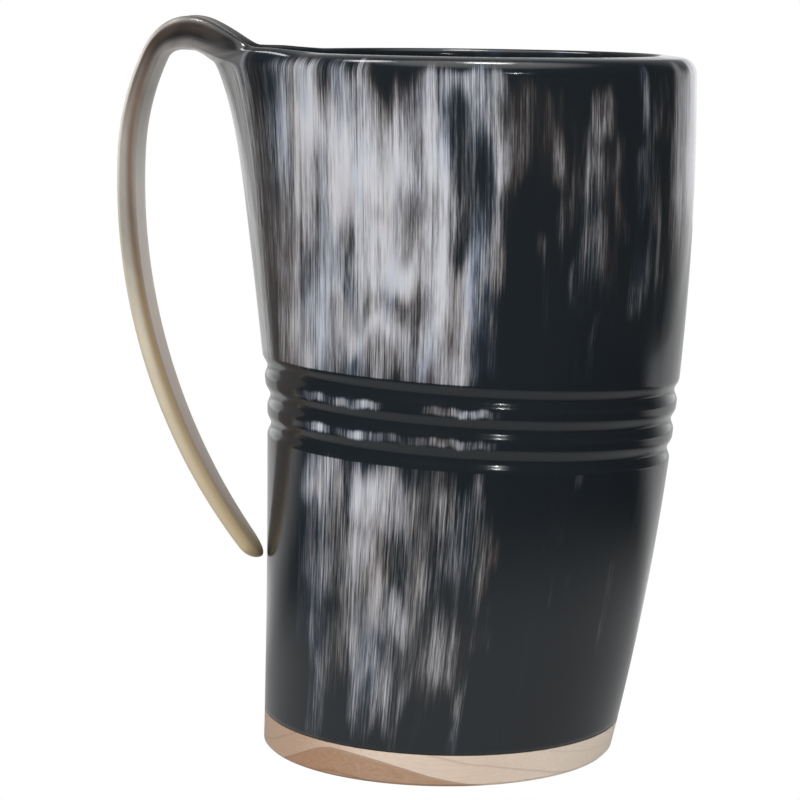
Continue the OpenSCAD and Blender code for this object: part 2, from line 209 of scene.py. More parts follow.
# Its dark tint as a share of the pale one, below the bend and in it. It changes from this share of the bend,
# over this share
DARK_BELOW, DARK_IN_BEND, DARK_FROM, DARK_FADE = 0.6, 0.4, 0.6, 0.8

# Horn. Four numbers named X_TO_Y take X from between the first two to between the last two.
# Fibres: mm across, mm along and detail. Then their weights in the streaks, and the roughness of the noise
FINE_FIBRES, FLECKS, BROAD_FIBRES = (0.26, 32, 3), (0.30, 5, 2), (1.3, 45, 3)
FINE_WEIGHT, FLECK_WEIGHT, BROAD_WEIGHT, NOISE_ROUGHNESS = 1.0, 0.75, 0.8, 0.6
# How lively the streaks are, by paleness and by calmness
PALE_TO_LIVELY, CALM_TO_LIVELY = (0.0, 0.35, 0.15, 1.0), (0.0, 1.0, 1.0, 0.3)
# From the dark tint over a half tint, which has this share of the pale one, to the pale tint
TOTAL_TO_HALF, TOTAL_TO_PALE, HALF_TINT = (0.08, 0.5, 0, 1), (0.30, 1.0, 0, 1), 0.24
# Roughness of the polished horn, and how much more the satin handle has
FIBRES_TO_ROUGH, SATIN_ROUGHNESS = (0.3, 0.7, 0.10, 0.20), 0.35
COAT_WEIGHT, COAT_ROUGHNESS = 0.1, 0.04
# Strength of the bump, and its depth in metres
HORN_BUMP, HORN_BUMP_DEPTH = 0.015, 0.0002

# Wood. Its growth rings are a tent whose ridge runs under the cup, flatter on its right side.
# Place of the ridge in metres, slopes to the left and the right, and how round the ridge is
RING_X, RING_LEFT, RING_RIGHT, RING_SOFT = -0.024, 0.76, 0.22, 0.003
# Height of the first ring and thickness of a ring, in metres
RING_FIRST, RING_PITCH = 0.0073, 0.0048
# Waves of the rings, and their height in metres
WAVE_SCALE, WAVE_DETAIL, WAVE_HEIGHT = 45.0, 2.0, 0.002
# Lines of the late wood: their place within a ring, and how they weaken from ring to ring
WITHIN_TO_LINE, TURNS_TO_LINE = (0.86, 1.0, 0.0, 1.0), (0.2, 1.6, 0.5, 0.12)
# Paleness by rings, sideways from the ridge, and at the far right, partly the wood's own and partly painted
# light from the right
TURNS_TO_PALE, SIDEWAYS_TO_PALE = (-0.15, 0.05, 0.15, 0.8), (-0.008, 0.012, 0.3, 0.9)
# At the far right the paleness is painted light only
LIT_RIGHT_TO_PALE = (0.03, 0.055, 0.0, 0.25)
# Fibres per metre along x, y and z, their detail, and their strength in the colour
WOOD_FIBRES, WOOD_DETAIL, WOOD_GRAIN = (60, 2200, 2200), 3.0, 0.3
WOOD_TO_ROUGH, WOOD_BUMP, WOOD_BUMP_DEPTH = (0.3, 0.7, 0.35, 0.5), 0.15, 0.0002
# The pale colour also stands for painted light on the right, and the dark one for painted shade on the left
HEARTWOOD_AND_SHADE, SAPWOOD_AND_LIGHT, RING_LINE = srgb("a37a5a"), srgb("f2e2d0"), srgb("7d5a3e")

# Resin: its colours, the scale and detail of its clouds, its roughness and its bump
RESIN_DARK, RESIN_LIGHT = srgb("2f2212"), srgb("5a4325")
RESIN_SCALE, RESIN_DETAIL, RESIN_TO_ROUGH = 220.0, 3.0, (0.3, 0.7, 0.1, 0.25)
RESIN_BUMP, RESIN_BUMP_DEPTH = 0.1, 0.0003

# Camera: what it looks at and from how far, degrees above level, degrees of roll, and lens and sensor in mm
CAMERA_TARGET, CAMERA_DISTANCE = Vector((-9.22, 0, 75.1)) * MM, 595 * MM
CAMERA_UP, CAMERA_ROLL, CAMERA_LENS, CAMERA_SENSOR = 8.5, 0.8, 123.7, 36
CAMERA_CLIP = (0.01, 20)

# Floor in metres: half its width, its edges in front and behind, and how far it lies below the foot
FLOOR_X, FLOOR_NEAR, FLOOR_FAR, FLOOR_DROP = 0.45, -0.28, 1.3, 0.1 * MM
FLOOR_COLOUR, FLOOR_ROUGHNESS, WHITE = (0.7, 0.7, 0.7, 1), 0.9, (1, 1, 1, 1)
# How bright it is to gloss, by the distance from the cup's middle and by the distance behind it
DISTANCE_TO_GLOSS, BEHIND_TO_GLOSS = (0.10, 0.22, 0.45, 0.0), (0.05, 0.16, 0.0, 0.68)
# How bright the studio is to gloss: at the back, turned a little to the left, less so high up, and overhead
BACK_TURN, BACK_TO_GLOSS = 0.08, (0.40, 0.98, 0.03, 1.25)
HEIGHT_TO_GLOSS, OVERHEAD_TO_GLOSS = (0.03, 0.3, 1.0, 0.2), (0.80, 0.97, 0.0, 1.6)
# How bright it is to everything but gloss and the camera
SOFT_WHITE = 0.6

# Lights: name, place and width in metres, power, and whether gloss shows it. All look at one point
LIGHTS = [
    ("soft_front", (-0.35, -0.75, 0.85), 0.7, 7, False),
    ("highlight", (0.245, -0.756, 0.54), 0.03, 0.4, True),
    ("over_lip", (0.04, 0.13, 0.95), 0.16, 1.5, True),
    ("left_of_lip", (-0.35, 0.25, 0.85), 0.2, 0.8, True)]
LIGHT_AIM = Vector((0, 0, 0.08))


def clamp(v):
    return np.clip(v, 0.0, 1.0)


def smooth(v):
    u = clamp(v)
    return u * u * (3 - 2 * u)


def mix(a, b, share):
    return a + (b - a) * share


def cosd(a):
    return np.cos(np.radians(a))


def sind(a):
    return np.sin(np.radians(a))


def tand(a):
    return math.tan(math.radians(a))


def away(a):
    return np.where(a > 180, a - 360, a)


# Shape of the horn, by angle away from the handle and height

def centre_x(z):
    return LEAN * (1 - (1 - z / LEAN_H) ** 2)


def round_r(z):
    return FOOT_R + (MOUTH_R - FOOT_R) * (1 - (1 - z / RIM_H) ** 2)


def outer_r(a, z):
    u = clamp((z - RIM_H + ROOT_BULGE_H) / ROOT_BULGE_H)
    grow = EVEN_SHARE * u + (1 - EVEN_SHARE) * u ** CURL_POWER
    spread = 1 - smooth((np.abs(a) - BULGE_FLAT) / (BULGE_HALF - BULGE_FLAT))
    return round_r(z) + ROOT_BULGE * grow * spread


def wall(a):
    return mix(BACK_WALL, FRONT_WALL, (1 - cosd(a)) / 2)


def lip_rise(a):
    return ROOT_RISE * (1 - clamp((np.abs(a) - ROOT_HALF) / (BLEND_HALF - ROOT_HALF))) ** 2


def groove_cut(h):
    half = GROOVE_SOFT * GROOVE_W / 2
    cuts = [np.where(np.abs(h - g) < half, 0.5 + 0.5 * np.cos(np.pi * (h - g) / half), 0) for g in GROOVES]
    return GROOVE_DEPTH * np.max(cuts, axis=0)


def row_slope(h):
    joint = np.array([-tand(JOINT_FALL), 0.0])
    groove = np.array([-tand(GROOVE_FALL), -tand(GROOVE_TIP)])
    low = smooth((h - JOINT_H) / (GROOVE_LOW - JOINT_H))[..., None]
    high = smooth((h - GROOVE_HIGH) / (RIM_H - LIP_OUTER_R - GROOVE_HIGH))[..., None]
    return np.where((h < GROOVE_LOW)[..., None], mix(joint, groove, low), groove * (1 - high))


def at(a, z, r):
    return np.stack([centre_x(z) - r * cosd(a), -r * sind(a), z], -1)


def outer_point(a, h):
    slope, r = row_slope(h), round_r(h)
    follow = smooth((h - RIM_H + LIP_OUTER_R + RISE_H) / RISE_H)
    z = h - r * (slope[..., 0] * cosd(a) + slope[..., 1] * sind(a)) + lip_rise(away(a)) * follow
    return at(a, z, outer_r(away(a), z) - groove_cut(h))


def lip_points(a):
    """Rows of the lip, from the outer face over the crown to the inner face."""
    w = wall(away(a))
    rows = []
    for t in np.linspace(0, 90, LIP_OUTER_N):
        rows.append((LIP_OUTER_R * (1 - cosd(t)) + 0 * w, LIP_OUTER_R * (1 - sind(t))))
    for t in np.linspace(90, 0, LIP_INNER_N):
        rows.append((w - LIP_INNER_R * (1 - cosd(t)), LIP_INNER_R * (1 - sind(t))))
    points = []
    for across, drop in rows:
        z = RIM_H + lip_rise(away(a)) - drop - LIP_FALL * (1 - across / w)
        points.append(at(a, z, outer_r(away(a), np.minimum(z, RIM_H)) - across))
    return points


def inner_point(a, h):
    follow = smooth((h - RIM_H + LIP_INNER_R + RISE_H) / RISE_H)
    z = h + lip_rise(away(a)) * follow
    return at(a, z, outer_r(away(a), z) - wall(away(a)))


def bore_point(a, h):
    return np.stack([-BORE_R * cosd(a), -BORE_R * sind(a), h + 0 * a], -1)


def column_angles():
    c = np.arange(COLUMNS)
    first, back = ROOT_N + SIDE_N, ROOT_N + SIDE_N + FRONT_N
    side = BLEND_HALF - ROOT_HALF
    return np.select(
        [c <= ROOT_N, c <= first, c <= back],
        [mix(-ROOT_HALF, ROOT_HALF, c / ROOT_N), mix(ROOT_HALF, BLEND_HALF, (c - ROOT_N) / SIDE_N),
         mix(BLEND_HALF, 360 - BLEND_HALF, (c - first) / FRONT_N)],
        360 - BLEND_HALF + side * (c - back) / SIDE_N)


def grid_rows(a):
    """Rows of points up the outside, over the lip and down the inside, and how far along each row lies."""
    high_top = RIM_H - LIP_OUTER_R - LIP_FALL
    margin = (GROOVE_SOFT - 1) * GROOVE_W
    heights = np.concatenate([
        np.linspace(JOINT_H, GROOVE_LOW - margin, LOW_ROWS, endpoint=False),
        np.linspace(GROOVE_LOW - margin, GROOVE_HIGH + margin, CUT_ROWS, endpoint=False),
        np.linspace(GROOVE_HIGH + margin, high_top, HIGH_ROWS, endpoint=False)])
    rows = [outer_point(a, h + 0 * a) for h in heights]
    along = [h + 0 * a for h in heights]
    lip = lip_points(a)
    lip_first = len(rows)
    for k, row in enumerate(lip):
        rows.append(row)
        along.append(high_top + k * FRONT_WALL / len(lip) + 0 * a)
    lip_last = len(rows) - 1
    share = (np.arange(1, INNER_ROWS + 1) / INNER_ROWS) ** INNER_CROWDING
    for h in mix(RIM_H - LIP_INNER_R, BORE_TOP + FILLET, share):
        rows.append(inner_point(a, h + 0 * a))
        along.append(RIM_H + FRONT_WALL + RIM_H - h + 0 * a)
    inside_end = along[-1]
    rows.append(bore_point(a, BORE_TOP + 0 * a))
    rows.append(bore_point(a, JOINT_H + BORE_R * cosd(a) * tand(JOINT_FALL)))
    along += [inside_end + FILLET, inside_end + FLOOR_H]
    return np.array(rows), np.array(along), lip_first, lip_last


# Path and section of the handle

def handle_path(root):
    """Length of the bend and of the whole path, and a function for the place and heading at a length."""
    bend, shoulder = 180 - SHOULDER_LEAN - ROOT_LEAN, SHOULDER_LEAN - DROP_LEAN
    arcs = [(BEND_R, bend), (SHOULDER_R, shoulder), (SWEEP_R, math.degrees(SWEEP_LEN / SWEEP_R))]
    lengths = [r * math.radians(g) for r, g in arcs]
    starts = [0, lengths[0], lengths[0] + lengths[1]]
    headings = [ROOT_LEAN, ROOT_LEAN + bend, ROOT_LEAN + bend + shoulder]

    def swing(origin, r, g0, g1):
        return (origin[0] + r * (cosd(g1) - cosd(g0)), origin[1] + r * (sind(g1) - sind(g0)))

    places = [root]
    for k in range(2):
        places.append(swing(places[k], arcs[k][0], headings[k], headings[k + 1]))

    def at_length(s):
        k = 0 if s < starts[1] else 1 if s < starts[2] else 2
        g = headings[k] + math.degrees((s - starts[k]) / arcs[k][0])
        return swing(places[k], arcs[k][0], headings[k], g), g

    return starts[1], sum(lengths), at_length


def section(w, t):
    """The handle in section: across, and towards its hollow face, in the order of the root's loop."""
    n = LIP_OUTER_N + LIP_INNER_N
    flat = np.linspace(1, -1, ROOT_N + 1) * (w - t / 2)
    k = np.arange(1, n - 1)
    turn = -90 + 180 * k / (n - 1)
    bend = np.stack([w - t / 2 + t / 2 * cosd(turn), t / 2 * sind(turn)], -1)
    return np.concatenate([
        np.stack([flat, np.full(ROOT_N + 1, -t / 2)], -1), bend * [-1, 1],
        np.stack([flat[::-1], np.full(ROOT_N + 1, t / 2)], -1), bend[::-1]])


def handle_rings(loop, path):
    """Rings of points from the root's loop to the tip, their places across, and their lengths along it."""
    bend_len, path_len, at_length = path
    blend_len = BLEND_SHARE * bend_len
    lengths = np.concatenate([
        bend_len * np.arange(1, BEND_RINGS + 1) / BEND_RINGS,
        mix(bend_len, path_len - TIP_LEN, np.arange(1, SWEEP_RINGS + 1) / SWEEP_RINGS),
        path_len - TIP_LEN * (1 - sind(90 * np.arange(1, TIP_RINGS) / TIP_RINGS))])
    rings, across = [], []
    for s in lengths:
        below = float(clamp((s - bend_len) / (path_len - bend_len)))
        full_w = mix(HANDLE_W, TIP_W, below ** TAPER_POWER) / 2
        t = (mix(BEND_T, HANDLE_T, float(smooth(2 * s / bend_len - 1))) if s < bend_len
             else mix(HANDLE_T, TIP_T, below ** THIN_POWER))
        u = float(clamp((s - path_len + TIP_LEN) / TIP_LEN))
        tip = math.sqrt(max(0.0, 1 - u * u))
        form = section(max(full_w * tip, t * tip / 2), t * tip)
        up = form[:, 1] + HANDLE_HOLLOW * ((form[:, 0] / full_w) ** 2 - 0.5)
        (x, z), g = at_length(s)
        ring = np.stack([x + cosd(g) * up, form[:, 0], z + sind(g) * up], -1)
        rings.append(mix(loop, ring, math.sin(math.pi / 2 * min(1.0, s / blend_len))))
        over = form[:, 1] / (t * tip / 2)
        over[1:ROOT_N] = ON_INNER_FACE
        across.append(over)
    return np.array(rings), np.array(across), lengths


# Pattern of the horn

def clouds(a, z, noise):
    """Smooth random values, as far from zero as the noise's strength; the angles close on themselves."""
    cell_angle, cell_height, seed, strength = noise
    around = round(360 / cell_angle)
    table = np.random.default_rng(seed).uniform(-1, 1, (around, CLOUD_ROWS))
    u, v = (a % 360) * around / 360, (z + CLOUD_START) / cell_height
    i, j = np.floor(u).astype(int), np.floor(v).astype(int)
    su, sv = smooth(u - i), smooth(v - j)
    low = mix(table[i % around, j % CLOUD_ROWS], table[(i + 1) % around, j % CLOUD_ROWS], su)
    high = mix(table[i % around, (j + 1) % CLOUD_ROWS], table[(i + 1) % around, (j + 1) % CLOUD_ROWS], su)
    return strength * mix(low, high, sv)


def strewn_streaks():
    """Long thin patches at random places in each zone."""
    rng = np.random.default_rng(STREW_SEED)
    streaks = []
    for first, last, low, high, count, widest, strength, tone in STREWN_ZONES:
        for _ in range(count):
            streaks.append((
                rng.uniform(first, last), rng.uniform(low, high), rng.uniform(STREAK_NARROWEST, widest),
                rng.uniform(*STREAK_HALF_HEIGHTS), strength * rng.uniform(*STREAK_STRENGTHS),
                tone + rng.uniform(*STREAK_TONES)))
    return streaks


def patch_share(a, z, patch, jag):
    """How much of a patch lies at each point: soft at its sides, ragged at its ends."""
    middle, height, half_angle, half_height = patch[:4]
    ragged = jag * min(1.0, half_height / RAGGED_HALF_HEIGHT)
    sideways = np.abs((a - middle + 180) % 360 - 180) / (half_angle + PATCH_PAD)
    upwards = np.abs(z - height + ragged) / (half_height + PATCH_PAD)
    beside = 1 - smooth((sideways - SIDES_FROM) / SIDES_FADE)
    return beside * (1 - smooth((upwards - ENDS_FROM) / ENDS_FADE))


def streak_shares(bent, z, h, jag, thin):
    """The share of each pale patch and strewn streak at each point, and its tone."""
    banded = (h > GROOVE_LOW - BAND_MARGIN) & (h < GROOVE_HIGH + BAND_MARGIN)
    for patch in PALE_PATCHES + strewn_streaks():
        share = clamp(patch[4] * thin * patch_share(bent, z, patch, jag))
        yield np.where(banded, BAND_SHARE * share, share), patch[5]


def crest_shares(bent, h, jag, thin, broken):
    """The share of each streak on a crest at each point."""
    for middle, crest, half_angle, strength in CREST_PATCHES:
        sideways = np.abs(bent - middle) / half_angle
        upwards = np.abs(h - CRESTS[crest] + CREST_JAG * jag)
        across = 1 - smooth((sideways - CREST_SIDES_FROM) / CREST_SIDES_FADE)
        upright = 1 - smooth((upwards - CREST_ENDS_FROM) / CREST_ENDS_FADE)
        yield clamp(CREST_STRENGTH * strength * broken * thin * across * upright)


def horn_pattern(a, z, h):
    """Paleness, tone, shade of the ground and blur; h is the height by rows, where grooves are level."""
    jag = clouds(a, z, END_NOISE) + clouds(a, z, END_LUMPS)
    bent = a + clouds(a, z, SWAY_NOISE)
    thin = THIN_MEAN + clouds(a, z, THIN_NOISE) + clouds(a, z, THIN_LUMPS)
    broken = CREST_MEAN + clouds(a, z, CREST_NOISE)
    dark_left, tone, weight = 1.0 + 0 * z, 0 * z, TINY + 0 * z
    for share, own_tone in streak_shares(bent, z, h, jag, thin):
        dark_left *= 1 - share
        tone += own_tone * share
        weight += share
    for share in crest_shares(bent, h, jag, thin, broken):
        dark_left *= 1 - share
        weight += share
    pale = 1 - dark_left
    for patch in DARK_PATCHES:
        pale *= 1 - patch[4] * patch_share(bent, z, patch, jag)
    below_lip = 1 - smooth((z - RIM_H + LIP_DARK_DEPTH + LIP_JAG * jag) / LIP_DARK_FADE)
    shade = clouds(a, z, SHADE_NOISE) * clamp(SHADE_GAIN * pale - SHADE_OFFSET)
    tone = tone / weight + clouds(a, z, TONE_NOISE)
    blur = np.max([patch[4] * patch_share(bent, z, patch, 0) for patch in CLOUDY_PATCHES], axis=0)
    return pale * below_lip, tone, shade * below_lip, blur


def streak_colour(tone):
    """Colour of the pale streaks: bluish, lilac-grey or brown."""
    t = np.asarray(tone)[..., None]
    return np.where(t < 0, mix(PALE, BLUISH, clamp(-t * BLUE_GAIN)), mix(PALE, BROWNISH, clamp(t)))


def ground_colour(shade):
    """Colour between the streaks: bluish, plain or brownish black."""
    s = np.asarray(shade)[..., None]
    return mix(mix(GROUND, SLATE, clamp(s)), UMBER, clamp(-s))


def ramp(share, stops):
    """Colours at shares of a length, by stops of a share and a colour."""
    places = [place for place, _ in stops]
    return np.stack([np.interp(share, places, [colour[c] for _, colour in stops]) for c in range(3)], -1)


def handle_colour(across, lengths, bend_len, path_len):
    """Dark and pale tints of the handle: a brown core line between two paler halves, and the outer strip with
    a painted reflection.
    """
    share = lengths / path_len
    outer, core, inner = [ramp(share, stops)[:, None] for stops in (OUTER_STOPS, CORE_STOPS, INNER_STOPS)]
    # The outermost strip paints a reflection and highlight over the horn's own pale edge
    outer = mix(outer, ramp(share, EDGE_AND_SHEEN_STOPS)[:, None], smooth((across - EDGE_PLACE) / EDGE_FADE)[..., None])
    upper = 1 - smooth((share - LINE_FROM_SHARE) / (LINE_TO_SHARE - LINE_FROM_SHARE))
    dark = LINE_STRENGTH * (1 - smooth(np.abs(across - LINE_PLACE) / LINE_HALF)) * upper[:, None]
    outer = mix(outer, SMOKE, dark[..., None])
    moved = smooth((share - CORE_FROM_SHARE) / (CORE_TO_SHARE - CORE_FROM_SHARE))
    line = mix(CORE_IN_BEND, CORE_BELOW, moved)[:, None]
    inwards = smooth((line - across) / CORE_FADE)[..., None]
    outwards = smooth((across - line) / CORE_FADE)[..., None]
    pale = mix(mix(core, inner, inwards), outer, outwards)
    bend = (1 - smooth((lengths / bend_len - DARK_FROM) / DARK_FADE))[:, None, None]
    return pale * mix(DARK_BELOW, DARK_IN_BEND, bend), pale


def root_greys_and_sheen(a, z):
    """How far the wall under the handle has the greys of the handle's root, partly a painted reflection."""
    upwards = smooth((z - ROOT_LOW) / (ROOT_HIGH - ROOT_LOW))
    beside = 1 - smooth((np.abs(away(a)) - ROOT_HALF_ANGLE) / ROOT_FADE)
    started = smooth((z - ROOT_START) / ROOT_START_FADE)
    return beside * started * mix(ROOT_BELOW, ROOT_ABOVE, upwards)


# Meshes

def make_mesh(name, points, faces):
    mesh = bpy.data.meshes.new(name)
    mesh.from_pydata((points * MM).tolist(), [], faces)
    mesh.update()
    mesh.shade_smooth()
    piece = bpy.data.objects.new(name, mesh)
    bpy.context.scene.collection.objects.link(piece)
    return piece


def add_attribute(piece, name, kind, values):
    field = {"FLOAT": "value", "FLOAT_VECTOR": "vector", "FLOAT_COLOR": "color"}[kind]
    data = piece.data.attributes.new(name, kind, "POINT").data
    data.foreach_set(field, np.ascontiguousarray(values, dtype=np.float32).ravel())


def with_alpha(colour):
    return np.concatenate([colour, np.ones(colour.shape[:-1] + (1,))], -1)


def soften(points, faces, weight, rounds):
    """Moves each point part of the way to the middle of its neighbours, as far as its weight says."""
    quads = np.array([f if len(f) == 4 else (*f, f[2]) for f in faces])
    ends = np.concatenate([quads[:, [k, (k + 1) % 4]] for k in range(4)])
    near = ends[(weight[ends] > 0).any(1)]
    near = np.concatenate([near, near[:, ::-1]])
    moved = points.copy()
    count = np.bincount(near[:, 0], minlength=len(points))[:, None]
    for _ in range(rounds):
        total = np.zeros_like(moved)
        np.add.at(total, near[:, 0], moved[near[:, 1]])
        middle = np.where(count > 0, total / np.maximum(count, 1), moved)
        moved = mix(moved, middle, weight[:, None])
    return moved


def root_loop(ids, lip_first, lip_last):
    """Points around the gap in the lip out of which the handle grows."""
    columns = range(ROOT_N + 1)
    between = range(lip_first + 1, lip_last)
    outer = [ids[lip_first, c] for c in columns]
    one_side = [ids[r, ROOT_N] for r in between]
    inner = [ids[lip_last, c] for c in reversed(columns)]
    other_side = [ids[r, 0] for r in reversed(between)]
    return np.array(outer + one_side + inner + other_side)


def body_faces(ids, lip_first, lip_last):
    """Quads of the whole body but the gap."""
    faces = []
    for r in range(len(ids)):
        low, high = ids[r], ids[(r + 1) % len(ids)]
        for c in range(COLUMNS):
            d = (c + 1) % COLUMNS
            if not (lip_first <= r < lip_last and c < ROOT_N):
                faces.append((int(low[c]), int(low[d]), int(high[d]), int(high[c])))
    return faces


def handle_faces(ring_ids, tip_id):
    """Quads between neighbouring rings of the handle, and a fan over its tip."""
    faces = []
    n = ring_ids.shape[1]
    for low, high in zip(ring_ids[:-1], ring_ids[1:]):
        for k in range(n):
            m = (k + 1) % n
            faces.append((int(low[k]), int(low[m]), int(high[m]), int(high[k])))
    last = ring_ids[-1]
    return faces + [(int(last[(k + 1) % n]), tip_id, int(last[k])) for k in range(n)]


def body_looks(angle, along, z, lip_first, lip_last):
    """Paleness, calmness, dark tint and pale tint of each point of the body."""
    row = np.arange(len(along))[:, None]
    outside, inside = row < lip_first, row > lip_last
    pale, tone, shade, blur = horn_pattern(angle, z, along)
    # The root's greys are partly the horn's own and partly a painted reflection
    root = root_greys_and_sheen(angle, z) * np.where(inside, ROOT_INSIDE, 1.0)
    pale = np.maximum(pale * np.where(inside, INSIDE_PALE, 1.0), root)
    over_lip = 1 - smooth((row - lip_first - LIP_OUTER_N / 2) / (LIP_OUTER_N / 2))
    pale = np.where(outside | inside, pale, pale * over_lip)
    in_groove = groove_cut(np.where(outside, along, 0)) / GROOVE_DEPTH
    pale = pale * (1 - smooth((in_groove - GROOVE_DARK_FROM) / GROOVE_DARK_FADE))
    dark_tint = mix(ground_colour(np.where(inside, 0, shade)), ROOT_DARK, root[..., None])
    pale_tint = mix(streak_colour(tone), ROOT_PALE_AND_SHEEN, root[..., None])
    calm = np.maximum(ROOT_CALM * root, blur * outside)
    return pale, calm, dark_tint, pale_tint


def add_fibres(piece, angle, along, loop, across, lengths):
    """Keeps for each point where it lies among the fibres, which run up the wall and on along the handle."""
    ring_angle = np.broadcast_to(angle.ravel()[loop], across.shape)
    ring_along = along.ravel()[loop] + lengths[:, None]
    u = np.concatenate([angle.ravel(), ring_angle.ravel(), [0]])
    v = np.concatenate([along.ravel(), ring_along.ravel(), [ring_along.max()]])
    add_attribute(piece, "fibre", "FLOAT_VECTOR", np.stack([FIBRE_R * cosd(u), FIBRE_R * sind(u), v], -1))


def add_looks(piece, body, loop, across, lengths, bend_len, path_len):
    """The handle starts with the wall's looks and takes on its own in the bend."""
    pale, calm, dark_tint, pale_tint = body
    ring_dark, ring_pale_tint = handle_colour(across, lengths, bend_len, path_len)
    fade = smooth(lengths / (OWN_LOOKS_SHARE * bend_len))[:, None]
    paler = smooth(lengths / bend_len - HANDLE_PALE_FROM)[:, None]
    ring_pale = mix(pale.ravel()[loop], mix(HANDLE_PALE_TOP, HANDLE_PALE_BELOW, paler), fade)
    ring_calm = mix(calm.ravel()[loop], HANDLE_CALM, fade)
    ring_dark = mix(dark_tint.reshape(-1, 3)[loop], ring_dark, fade[..., None])
    ring_pale_tint = mix(pale_tint.reshape(-1, 3)[loop], ring_pale_tint, fade[..., None])
    satin = smooth(lengths / bend_len)[:, None] + 0 * across
    values = (("pale", pale, ring_pale), ("calm", calm, ring_calm), ("satin", 0 * pale, satin))
    for name, wall_values, handle in values:
        joined = np.concatenate([wall_values.ravel(), handle.ravel(), handle[-1, :1]])
        add_attribute(piece, name, "FLOAT", joined)
    tints = (("dark_tint", dark_tint, ring_dark), ("pale_tint", pale_tint, ring_pale_tint))
    for name, wall_tints, handle in tints:
        joined = np.concatenate([wall_tints.reshape(-1, 3), handle.reshape(-1, 3), handle[-1, :1]])
        add_attribute(piece, name, "FLOAT_COLOR", with_alpha(joined))


def make_horn():
    """The whole horn, wall, lip and handle, as one closed mesh with its pattern on its points."""
    a = column_angles()
    grid, along, lip_first, lip_last = grid_rows(a)
    ids = np.arange(along.size).reshape(along.shape)
    loop = root_loop(ids, lip_first, lip_last)
    points = grid.reshape(-1, 3)
    middle = (points[ids[lip_first, ROOT_N // 2]] + points[ids[lip_last, ROOT_N // 2]]) / 2
    bend_len, path_len, at_length = handle_path((middle[0], middle[2]))
    rings, across, lengths = handle_rings(points[loop], (bend_len, path_len, at_length))
    (tip_x, tip_z), _ = at_length(path_len)

    all_points = np.concatenate([points, rings.reshape(-1, 3), [[tip_x, 0, tip_z]]])
    tip_id = len(all_points) - 1
    ring_ids = np.concatenate([[loop], np.arange(len(points), tip_id).reshape(len(rings), -1)])
    faces = body_faces(ids, lip_first, lip_last) + handle_faces(ring_ids, tip_id)
    # The root runs into the lip without a crease
    root_points = all_points[loop[::LOOP_STEP]]
    from_root = np.min([np.linalg.norm(all_points - p, axis=1) for p in root_points], axis=0)
    softness = SOFTEN_SHARE * (1 - smooth(from_root / SOFTEN_REACH))
    piece = make_mesh("horn_smooth", soften(all_points, faces, softness, SOFTEN_ROUNDS), faces)

    angle = np.broadcast_to(a, along.shape)
    add_fibres(piece, angle, along, loop, across, lengths)
    body = body_looks(angle, along, grid[..., 2], lip_first, lip_last)
    add_looks(piece, body, loop, across, lengths, bend_len, path_len)
    return piece


# Materials

def new_material(name):
    material = bpy.data.materials.new(name)
    material.use_nodes = True
    tree = material.node_tree
    return material, tree, tree.nodes["Principled BSDF"]


def node(tree, kind, settings=(), **inputs):
    """A new node. Its inputs go by name, or by number as i0, i1 and so on."""
    made = tree.nodes.new(kind)
    for key, value in dict(settings).items():
        setattr(made, key, value)
    for key, value in inputs.items():
        socket = made.inputs[int(key[1:])] if key[0] == "i" and key[1:].isdigit() else made.inputs[key]
        if isinstance(value, bpy.types.NodeSocket):
            tree.links.new(value, socket)
        else:
            socket.default_value = value
    return made


def maths(tree, operation, a, b):
    return node(tree, "ShaderNodeMath", {"operation": operation}, i0=a, i1=b).outputs[0]


def scaled_by(tree, vector, factors):
    return node(tree, "ShaderNodeVectorMath", {"operation": "MULTIPLY"}, i0=vector, i1=factors).outputs[0]


def stretched_noise(tree, vector, fibres):
    """Noise in fibres: so many mm across and along, with so much detail."""
    across, along, detail = fibres
    scaled = scaled_by(tree, vector, (1 / across, 1 / across, 1 / along))
    settings = {"Scale": 1.0, "Detail": detail, "Roughness": NOISE_ROUGHNESS}
    return node(tree, "ShaderNodeTexNoise", Vector=scaled, **settings).outputs[0]


def remapped(tree, value, numbers):
    """A value taken smoothly from between two numbers to between two others."""
    made = node(tree, "ShaderNodeMapRange", {"interpolation_type": "SMOOTHSTEP"}, Value=value)
    for key, number in zip(("From Min", "From Max", "To Min", "To Max"), numbers):
        made.inputs[key].default_value = number
    return made.outputs[0]


def attribute(tree, name, output):
    return node(tree, "ShaderNodeAttribute", {"attribute_name": name}).outputs[output]


def mixed(tree, share, first, second):
    """A colour between two colours."""
    return node(tree, "ShaderNodeMix", {"data_type": "RGBA"}, i0=share, i6=first, i7=second).outputs[2]


def add_bump(tree, shader, strength, depth, height):
    bump = node(tree, "ShaderNodeBump", Strength=strength, Distance=depth, Height=height).outputs[0]
    tree.links.new(bump, shader.inputs["Normal"])


